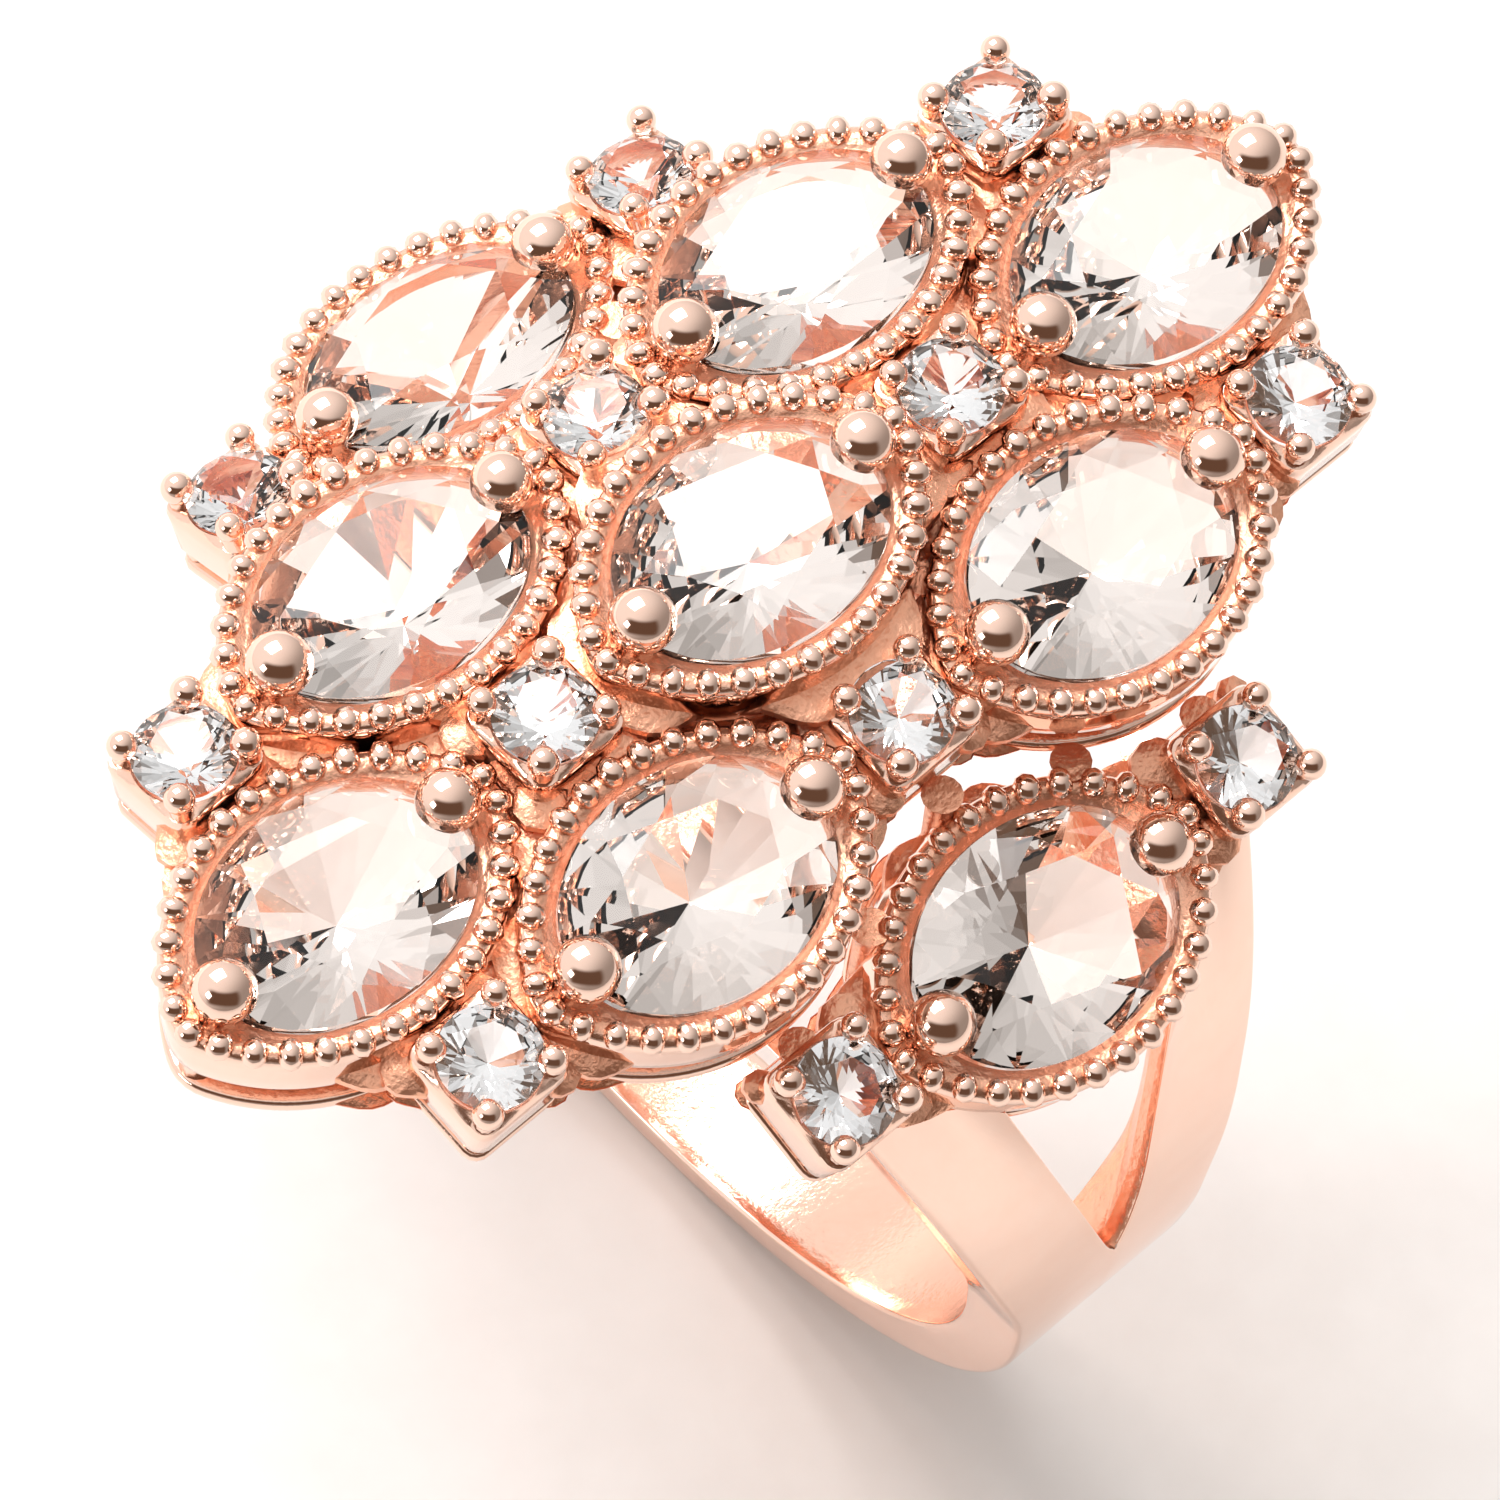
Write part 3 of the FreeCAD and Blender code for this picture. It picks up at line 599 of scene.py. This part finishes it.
def gallery_shells():
    """Every rail, the rough wall behind each slot, the webs that fill the narrow gaps, the posts under the
    claws and corners, and the posts between neighbouring rails."""
    shells = []
    oval, square = pointed_oval(96), rounded_square(56)
    outlines = [(seat, oval) for seat in OVAL_SEATS.values()]
    outlines += [(seat, square) for seat in ROUND_SEATS.values()]
    for (seat, outline), reach in zip(outlines, web_reaches(outlines, WEB_REACH)):
        shells.append(web_shell(seat, outline, reach, WEB_TOP, WEB_LOW))
        low = OVAL_RAIL_LOW if outline is oval else ROUND_RAIL_LOW
        shells.append(web_shell(seat, outline, reach * 0.7, low + 0.22 * MM, low + 0.03 * MM))
    oval_span = OVAL_RAIL_LOW + SUNK, OVAL_WALL_LOW + SUNK
    square_span = ROUND_RAIL_LOW + SUNK, CUP_LOW + SUNK
    oval_groove = rounded_bar(-GROOVE_DEPTH, -RAIL_WIDTH, *oval_span, 0.05 * MM)
    square_groove = rounded_bar(-CUP_GROOVE_DEPTH, -CUP_RAIL_WIDTH, *square_span, 0.05 * MM)
    oval_bar = rounded_bar(0, -RAIL_WIDTH, OVAL_RAIL_LOW, RAIL_TOP, 0.1 * MM)
    square_bar = rounded_bar(0, -CUP_RAIL_WIDTH, ROUND_RAIL_LOW, CUP_RAIL_TOP, 0.08 * MM)
    # The rails' inner part carries the grain and the painted shade; the polished outer edge hardly any.
    oval_cast_and_shade = np.where(np.array(oval_bar)[:, 0] < -0.12 * MM, INSIDE_CAST_AND_SHADE, OUTSIDE_CAST_AND_SHADE)
    square_cast_and_shade = np.where(np.array(square_bar)[:, 0] < -0.1 * MM, INSIDE_CAST_AND_SHADE, OUTSIDE_CAST_AND_SHADE)
    for seat in OVAL_SEATS.values():
        points, faces = carried(seat, oval, oval_bar)
        shells.append((points, faces, oval_cast_and_shade))
        points, faces = carried(seat, oval, oval_groove)
        shells.append((points, faces, INSIDE_CAST_AND_SHADE))
        for side in (-1, 1):
            y = side * (OVAL_HALF_LENGTH - 0.4 * MM)
            points, faces = seat_upright(seat, 0, y, *oval_span, CLAW_POST_RADIUS, POST_FLARE)
            shells.append((points, faces, OUTSIDE_CAST_AND_SHADE))
    for seat in ROUND_SEATS.values():
        points, faces = carried(seat, square, square_bar)
        shells.append((points, faces, square_cast_and_shade))
        points, faces = carried(seat, square, square_groove)
        shells.append((points, faces, INSIDE_CAST_AND_SHADE))
        corner = CUP_HALF - CUP_CORNER
        for sx in (-1, 1):
            for sy in (-1, 1):
                place = sx * corner, sy * corner
                points, faces = seat_upright(seat, *place, *square_span, CORNER_POST_RADIUS, CORNER_POST_FLARE)
                shells.append((points, faces, OUTSIDE_CAST_AND_SHADE))
    seats = [(s, OVAL_RAIL_LOW) for s in OVAL_SEATS.values()]
    seats += [(s, ROUND_RAIL_LOW) for s in ROUND_SEATS.values()]
    step = np.abs(OVAL_SEATS["c2"][0] - OVAL_SEATS["b2"][0])
    for i, (first, first_low) in enumerate(seats):
        for second, second_low in seats[i + 1 :]:
            apart = np.abs(first[0] - second[0])[:2] / step[:2]
            near = np.round(apart)
            if np.abs(apart - near).max() > 0.2:
                continue
            both_ovals = i < len(OVAL_NAMES) and second_low == OVAL_RAIL_LOW
            if near.tolist() == [1, 1] and both_ovals:
                x, y = ((first[0] + second[0]) / 2)[:2]
            elif near.sum() == 1:
                toward = np.sign(first[0] - second[0])[:2] * near
                reach = (step[:2] - (OVAL_HALF_WIDTH, OVAL_HALF_LENGTH) + CUP_HALF) / 2
                x, y = second[0][:2] + toward * reach
            else:
                continue
            lows = sorted([plane_height(first, x, y, first_low), plane_height(second, x, y, second_low)])
            low, high = lows[0] + 0.05 * MM, lows[1] + 0.4 * MM
            points, faces = upright(x, y, low, high, POST_WAIST, POST_FLARE)
            shells.append((points, faces, INSIDE_CAST_AND_SHADE))
    return shells


gallery = make_piece("cast_gallery", gallery_shells(), ROSE_GOLD)
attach(gallery, "root")
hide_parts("gallery")

# ---------------------------------------------------------------------------
# Oval settings: a polished wall with a narrow ledge round the stone, a row of
# small raised beads rolled along its rim, and a ball-headed claw over each end
# of the stone.
# ---------------------------------------------------------------------------

STONE_HALF = np.array([1.95, 2.55]) * MM
BEADS_ROUND = 30
BEAD_RADIAL = 0.27 * MM
BEAD_TANGENT = 0.24 * MM
BEAD_UP = 0.23 * MM
BEAD_INSET = 0.17 * MM
CLAW_BALL = 0.56 * MM
CLAW_BALL_Y = 2.47 * MM
CLAW_BALL_Z = 0.4 * MM


def wall_shell(seat, outline, stone_half, rows):
    """A closed profile carried round a setting. Each row is (inwardness, outward, share, up, as cast): the point
    moves from the outline pushed outward to the stone's own oval drawn at that share, as inwardness goes from
    0 to 1. The as-cast value gives grain and roughness and also painted shade, a deeper, darker orange, on the
    inner wall and rim."""
    place, way = outline
    inwardness, outward, share, up, cast = np.array(rows).T
    angle = np.arctan2(place[:, 1] / stone_half[1], place[:, 0] / stone_half[0])
    oval = np.stack([stone_half[0] * np.cos(angle), stone_half[1] * np.sin(angle)], 1)
    outer = place[:, None] + way[:, None] * outward[None, :, None]
    inner = oval[:, None] * share[None, :, None]
    flat = outer * (1 - inwardness)[None, :, None] + inner * inwardness[None, :, None]
    x, y = flat[..., 0], flat[..., 1]
    points = at_seat(seat, x, y, np.broadcast_to(up, x.shape))
    return points, grid_quads(len(place), len(rows), True, True), np.broadcast_to(cast, x.shape)


def ball(seat, x, y, z, radii, rings=12, sides=18, turn=0.0):
    """An ellipsoid in a setting's own directions: three radii times the directions on a sphere."""
    polar = np.linspace(0, np.pi, rings + 1)[:, None]
    round_ = np.arange(sides) / sides * 2 * np.pi
    u = radii[0] * np.sin(polar) * np.cos(round_)
    v = radii[1] * np.sin(polar) * np.sin(round_)
    w = radii[2] * np.cos(polar) * np.ones(sides)
    c, s = math.cos(turn), math.sin(turn)
    points = at_seat(seat, x + u * c - v * s, y + u * s + v * c, z + w)
    return points, grid_quads(rings + 1, sides, False, True)


def stem(seat, start, end, start_radius, end_radius, rings=10, sides=16):
    """A round bar between two points of a setting, its radius eased from one end to the other, its ends closed:
    start plus share times the way, plus the radius times the direction round the axis."""
    start, end = np.array(start), np.array(end)
    axis = (end - start) / np.linalg.norm(end - start)
    side = np.cross(axis, (1.0, 0.0, 0.0))
    side /= np.linalg.norm(side)
    other = np.cross(axis, side)
    share = np.linspace(0, 1, rings)
    radius = start_radius + (end_radius - start_radius) * share**2
    share = np.concatenate([[0], share, [1]])
    radius = np.concatenate([[0], radius, [0]])
    angle = np.arange(sides) / sides * 2 * np.pi
    middle = start + share[:, None] * (end - start)
    ring = side * np.cos(angle)[:, None] + other * np.sin(angle)[:, None]
    points = middle[:, None] + radius[:, None, None] * ring
    points = at_seat(seat, points[..., 0], points[..., 1], points[..., 2])
    return points, grid_quads(len(share), sides, False, True)


OVAL_WALL = [
    # inwardness, outward, share of the stone's oval, up, as cast (grain and painted shade)
    (0, -0.10 * MM, 1, OVAL_WALL_LOW, 0.3),
    (0, -0.03 * MM, 1, OVAL_WALL_LOW + 0.02 * MM, 0.1),
    (0, 0.00 * MM, 1, OVAL_WALL_LOW + 0.09 * MM, 0.0),
    (0, 0.00 * MM, 1, -0.60 * MM, 0.0),
    (0, 0.00 * MM, 1, -0.30 * MM, 0.0),
    (0, 0.00 * MM, 1, -0.12 * MM, 0.0),
    (0, -0.02 * MM, 1, -0.05 * MM, 0.05),
    (0, -0.08 * MM, 1, 0.00 * MM, 0.4),
    (0, -0.22 * MM, 1, 0.02 * MM, 0.9),
    (0, -0.38 * MM, 1, 0.00 * MM, 0.9),
    (0, -0.44 * MM, 1, -0.05 * MM, 0.85),
    (0.75, -0.44 * MM, 1.02, -0.07 * MM, 0.8),
    (1, 0, 1.015, -0.08 * MM, 0.75),
    (1, 0, 0.985, -0.12 * MM, 0.6),
    (1, 0, 0.88, -0.35 * MM, 0.9),
    (1, 0, 0.82, -0.60 * MM, 1.0),
    (1, 0, 0.82, OVAL_WALL_LOW + 0.04 * MM, 1.0),
    (1, 0, 0.86, OVAL_WALL_LOW, 1.0),
]

chance = np.random.default_rng(7)


def oval_setting_shells(seat):
    """The wall, its beads, each stretched across the rim, and the two claws."""
    points, faces, cast = wall_shell(seat, pointed_oval(120), STONE_HALF, OVAL_WALL)
    shells = [(points, faces, cast)]
    place, way = pointed_oval(BEADS_ROUND)
    for (px, py), (wx, wy) in zip(place - way * BEAD_INSET, way):
        grow = chance.uniform(0.93, 1.07, 3)
        radii = np.array([BEAD_RADIAL, BEAD_TANGENT, BEAD_UP]) * grow
        points, faces = ball(seat, px, py, 0.04 * MM, radii, 6, 10, math.atan2(wy, wx))
        shells.append((points, faces, 0.0))
    for side in (-1, 1):
        size = CLAW_BALL * chance.uniform(0.96, 1.04)
        shift = chance.uniform(-0.05, 0.05) * MM
        head = (shift, side * CLAW_BALL_Y, CLAW_BALL_Z)
        points, faces = ball(seat, *head, (size, size, size * 0.94), 20, 28)
        shells.append((points, faces, 0.0))
        foot = (shift, side * (CLAW_BALL_Y + 0.42 * MM), OVAL_WALL_LOW + 0.2 * MM)
        points, faces = stem(seat, foot, head, 0.4 * MM, 0.44 * MM)
        shells.append((points, faces, 0.25))
    return shells


for name, seat in OVAL_SEATS.items():
    setting = make_piece("beaded_setting_" + name, oval_setting_shells(seat), ROSE_GOLD, math.radians(50))
    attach(setting, "root")
    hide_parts("oval_setting_" + name)

# ---------------------------------------------------------------------------
# Round settings: a small square cup with a ball-headed claw at each corner,
# pressed over the edge of a round stone.
# ---------------------------------------------------------------------------

SMALL_STONE_HALF = np.array([0.9, 0.9]) * MM
SMALL_CLAW_REACH = 1.0 * MM
SMALL_CLAW_BALL = 0.27 * MM
SMALL_CLAW_Z = 0.27 * MM

ROUND_WALL = [
    # inwardness, outward, share of the stone's circle, up, as cast (grain and painted shade)
    (0, -0.08 * MM, 1, CUP_LOW, 0.3),
    (0, -0.02 * MM, 1, CUP_LOW + 0.02 * MM, 0.1),
    (0, 0.00 * MM, 1, CUP_LOW + 0.08 * MM, 0.05),
    (0, 0.00 * MM, 1, -0.40 * MM, 0.05),
    (0, 0.01 * MM, 1, -0.22 * MM, 0.05),
    (0, -0.03 * MM, 1, -0.13 * MM, 0.1),
    (0.5, -0.05 * MM, 1.02, -0.10 * MM, 0.3),
    (1, 0, 1.03, -0.08 * MM, 0.4),
    (1, 0, 0.98, -0.12 * MM, 0.6),
    (1, 0, 0.86, -0.35 * MM, 0.9),
    (1, 0, 0.74, -0.55 * MM, 1.0),
    (1, 0, 0.74, CUP_LOW, 1.0),
]


def round_setting_shells(seat):
    """The cup and its four claws, each a stem up the corner and a ball leaning in over the stone."""
    points, faces, cast = wall_shell(seat, rounded_square(80), SMALL_STONE_HALF, ROUND_WALL)
    shells = [(points, faces, cast)]
    for sx in (-1, 1):
        for sy in (-1, 1):
            reach = SMALL_CLAW_REACH * chance.uniform(0.97, 1.04) * math.sqrt(0.5)
            head = (sx * reach, sy * reach, SMALL_CLAW_Z * chance.uniform(0.85, 1.15))
            size = SMALL_CLAW_BALL * chance.uniform(0.93, 1.07)
            points, faces = ball(seat, *head, (size, size, size), 12, 18)
            shells.append((points, faces, 0.0))
            foot = (sx * reach * 1.05, sy * reach * 1.05, CUP_LOW + 0.1 * MM)
            points, faces = stem(seat, foot, head, 0.19 * MM, 0.22 * MM, 8, 12)
            shells.append((points, faces, 0.1))
    return shells


for name, seat in ROUND_SEATS.items():
    setting = make_piece("claw_cup_" + name, round_setting_shells(seat), ROSE_GOLD, math.radians(50))
    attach(setting, "root")
    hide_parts("round_setting_" + name)

# ---------------------------------------------------------------------------
# Stones: brilliant-cut, flat facets meeting at crisp edges. The ovals are a
# very pale peach and the small rounds have no colour.
# ---------------------------------------------------------------------------


def gem(name, tint, tint_deep, index):
    """A clear stone with a slight drift of colour through it and the faintest polishing haze on its facets.
    Light on its way to the metal behind passes straight through."""
    material = bpy.data.materials.new(name)
    material.use_nodes = True
    tree = material.node_tree
    shader = tree.nodes["Principled BSDF"]
    shader.inputs["Transmission Weight"].default_value = 1.0
    shader.inputs["IOR"].default_value = index
    where = tree.nodes.new("ShaderNodeTexCoord").outputs["Object"]
    drift = noise(tree, where, 420, 2)
    mix = tree.nodes.new("ShaderNodeMix")
    mix.data_type = "RGBA"
    mix.inputs["A"].default_value = tint
    mix.inputs["B"].default_value = tint_deep
    tree.links.new(drift, mix.inputs["Factor"])
    tree.links.new(mix.outputs["Result"], shader.inputs["Base Color"])
    haze = calc(tree, "MULTIPLY", noise(tree, where, 3000, 3), 0.012)
    tree.links.new(haze, shader.inputs["Roughness"])
    passing = tree.nodes.new("ShaderNodeBsdfTransparent")
    passing.inputs["Color"].default_value = tint_deep
    path = tree.nodes.new("ShaderNodeLightPath")
    either = tree.nodes.new("ShaderNodeMixShader")
    tree.links.new(path.outputs["Is Shadow Ray"], either.inputs[0])
    tree.links.new(shader.outputs[0], either.inputs[1])
    tree.links.new(passing.outputs[0], either.inputs[2])
    tree.links.new(either.outputs[0], tree.nodes["Material Output"].inputs["Surface"])
    return material


PEACH_GEM = gem("pale_peach_gem", (1.0, 0.95, 0.92, 1), (1.0, 0.89, 0.83, 1), 1.50)
CLEAR_GEM = gem("clear_gem", (1.0, 1.0, 1.0, 1), (0.95, 0.96, 0.98, 1), 1.62)

for kind, names, material in (("oval", OVAL_NAMES, PEACH_GEM), ("round", ROUND_NAMES, CLEAR_GEM)):
    for name in names:
        mesh = frame["nodes"][f"{kind}_stone_{name}"].data
        mesh.materials.clear()
        mesh.materials.append(material)

# ---------------------------------------------------------------------------
# Paper, light and camera. The ring stands on its band on a sheet of pale paper
# under one large soft light, with a small one in front.
# ---------------------------------------------------------------------------

PAPER_SIZE = 1.2


def paper():
    """A large sheet of matt white paper with a faint fibre."""
    z = cad_box[0][2] - 0.01 * MM
    half = PAPER_SIZE / 2
    mesh = bpy.data.meshes.new("paper")
    corners = [(-half, -half, z), (half, -half, z), (half, half, z), (-half, half, z)]
    mesh.from_pydata(corners, [], [(0, 1, 2, 3)])
    material = bpy.data.materials.new("white_paper")
    material.use_nodes = True
    tree = material.node_tree
    shader = tree.nodes["Principled BSDF"]
    shader.inputs["Roughness"].default_value = 0.8
    shader.inputs["Specular IOR Level"].default_value = 0.15
    where = tree.nodes.new("ShaderNodeTexCoord").outputs["Object"]
    mix = tree.nodes.new("ShaderNodeMix")
    mix.data_type = "RGBA"
    mix.inputs["A"].default_value = (0.84, 0.82, 0.80, 1)
    mix.inputs["B"].default_value = (0.90, 0.89, 0.875, 1)
    tree.links.new(noise(tree, where, 900, 4), mix.inputs["Factor"])
    tree.links.new(mix.outputs["Result"], shader.inputs["Base Color"])
    mesh.materials.append(material)
    sheet = bpy.data.objects.new("paper", mesh)
    bpy.context.scene.collection.objects.link(sheet)


paper()


def soft_light(name, place, aim, size, power):
    """A square softbox at a place, facing an aim point."""
    lamp = bpy.data.lights.new(name, "AREA")
    lamp.shape = "RECTANGLE"
    lamp.size, lamp.size_y = size
    lamp.energy = power
    light = bpy.data.objects.new(name, lamp)
    back = np.array(place, float) - aim
    back /= np.linalg.norm(back)
    side = np.cross((0.0, 0.0, 1.0), back)
    side /= np.linalg.norm(side)
    up = np.cross(back, side)
    matrix = np.eye(4)
    matrix[:3, 0], matrix[:3, 1], matrix[:3, 2], matrix[:3, 3] = side, up, back, place
    light.matrix_world = mathutils.Matrix(matrix)
    bpy.context.scene.collection.objects.link(light)


CLUSTER = OVAL_SEATS["b2"][0]
soft_light("overhead_softbox", (-0.28, 0.06, 0.36), CLUSTER, (0.30, 0.30), 1.9)
soft_light("front_softbox", (-0.10, -0.36, 0.20), CLUSTER, (0.12, 0.12), 0.3)


def studio_world():
    """The room round the ring: pale walls, lighter on the key light's side, and one dark strip low behind the
    camera. The strip is where the looking direction lies within one angle of its middle and within a smaller
    one of its plane, both taken as dot products and eased."""
    world = bpy.data.worlds.new("studio")
    world.use_nodes = True
    tree = world.node_tree
    looking = tree.nodes.new("ShaderNodeTexCoord").outputs["Generated"]

    def toward(azimuth, height):
        a, h = math.radians(azimuth), math.radians(height)
        return math.sin(a) * math.cos(h), -math.cos(a) * math.cos(h), math.sin(h)

    def facing(direction):
        dot = tree.nodes.new("ShaderNodeVectorMath")
        dot.operation = "DOT_PRODUCT"
        tree.links.new(looking, dot.inputs[0])
        dot.inputs[1].default_value = direction
        return dot.outputs["Value"]

    def eased(value, low, high):
        ramp = tree.nodes.new("ShaderNodeMapRange")
        ramp.interpolation_type = "SMOOTHSTEP"
        ramp.inputs["From Min"].default_value = low
        ramp.inputs["From Max"].default_value = high
        tree.links.new(value, ramp.inputs["Value"])
        return ramp.outputs["Result"]

    def blend(first, second, factor):
        mix = tree.nodes.new("ShaderNodeMix")
        mix.data_type = "RGBA"
        for socket, value in (("A", first), ("B", second)):
            if isinstance(value, tuple):
                mix.inputs[socket].default_value = value
            else:
                tree.links.new(value, mix.inputs[socket])
        tree.links.new(factor, mix.inputs["Factor"])
        return mix.outputs["Result"]

    walls = blend((0.34, 0.325, 0.31, 1), (1.05, 1.04, 1.03, 1), eased(facing(toward(-80, 35)), -0.5, 0.9))
    near_middle = eased(facing(toward(44, 40)), 0.45, 0.75)
    off_plane = eased(calc(tree, "ABSOLUTE", facing(toward(44, 130))), 0.28, 0.5)
    strip = calc(tree, "MULTIPLY", near_middle, calc(tree, "SUBTRACT", 1.0, off_plane))
    colour = blend(walls, (0.13, 0.08, 0.055, 1), strip)
    tree.links.new(colour, tree.nodes["Background"].inputs["Color"])
    bpy.context.scene.world = world


studio_world()

VIEW_AZIMUTH = math.radians(40.74)
VIEW_ELEVATION = math.radians(63.23)
VIEW_ROLL = math.radians(6.87)
VIEW_DISTANCE = 0.20875
VIEW_LENS = 309.6
VIEW_AIM = np.array([2.776 * MM, -2.621 * MM, CLUSTER[2]])

flat_reach = math.cos(VIEW_ELEVATION)
back = np.array(
    [
        math.sin(VIEW_AZIMUTH) * flat_reach,
        -math.cos(VIEW_AZIMUTH) * flat_reach,
        math.sin(VIEW_ELEVATION),
    ]
)
level = np.array([math.cos(VIEW_AZIMUTH), math.sin(VIEW_AZIMUTH), 0])
upward = np.cross(back, level)
right = math.cos(VIEW_ROLL) * level + math.sin(VIEW_ROLL) * upward
pose = np.eye(4)
pose[:3, 0] = right
pose[:3, 1] = np.cross(back, right)
pose[:3, 2] = back
pose[:3, 3] = VIEW_AIM + back * VIEW_DISTANCE
lens = bpy.data.cameras.new("camera")
lens.lens = VIEW_LENS
lens.sensor_width = 36
lens.clip_start = 0.01
camera = bpy.data.objects.new("camera", lens)
camera.matrix_world = mathutils.Matrix(pose)
bpy.context.scene.collection.objects.link(camera)
bpy.context.scene.camera = camera
bpy.context.scene.view_settings.view_transform = "Standard"
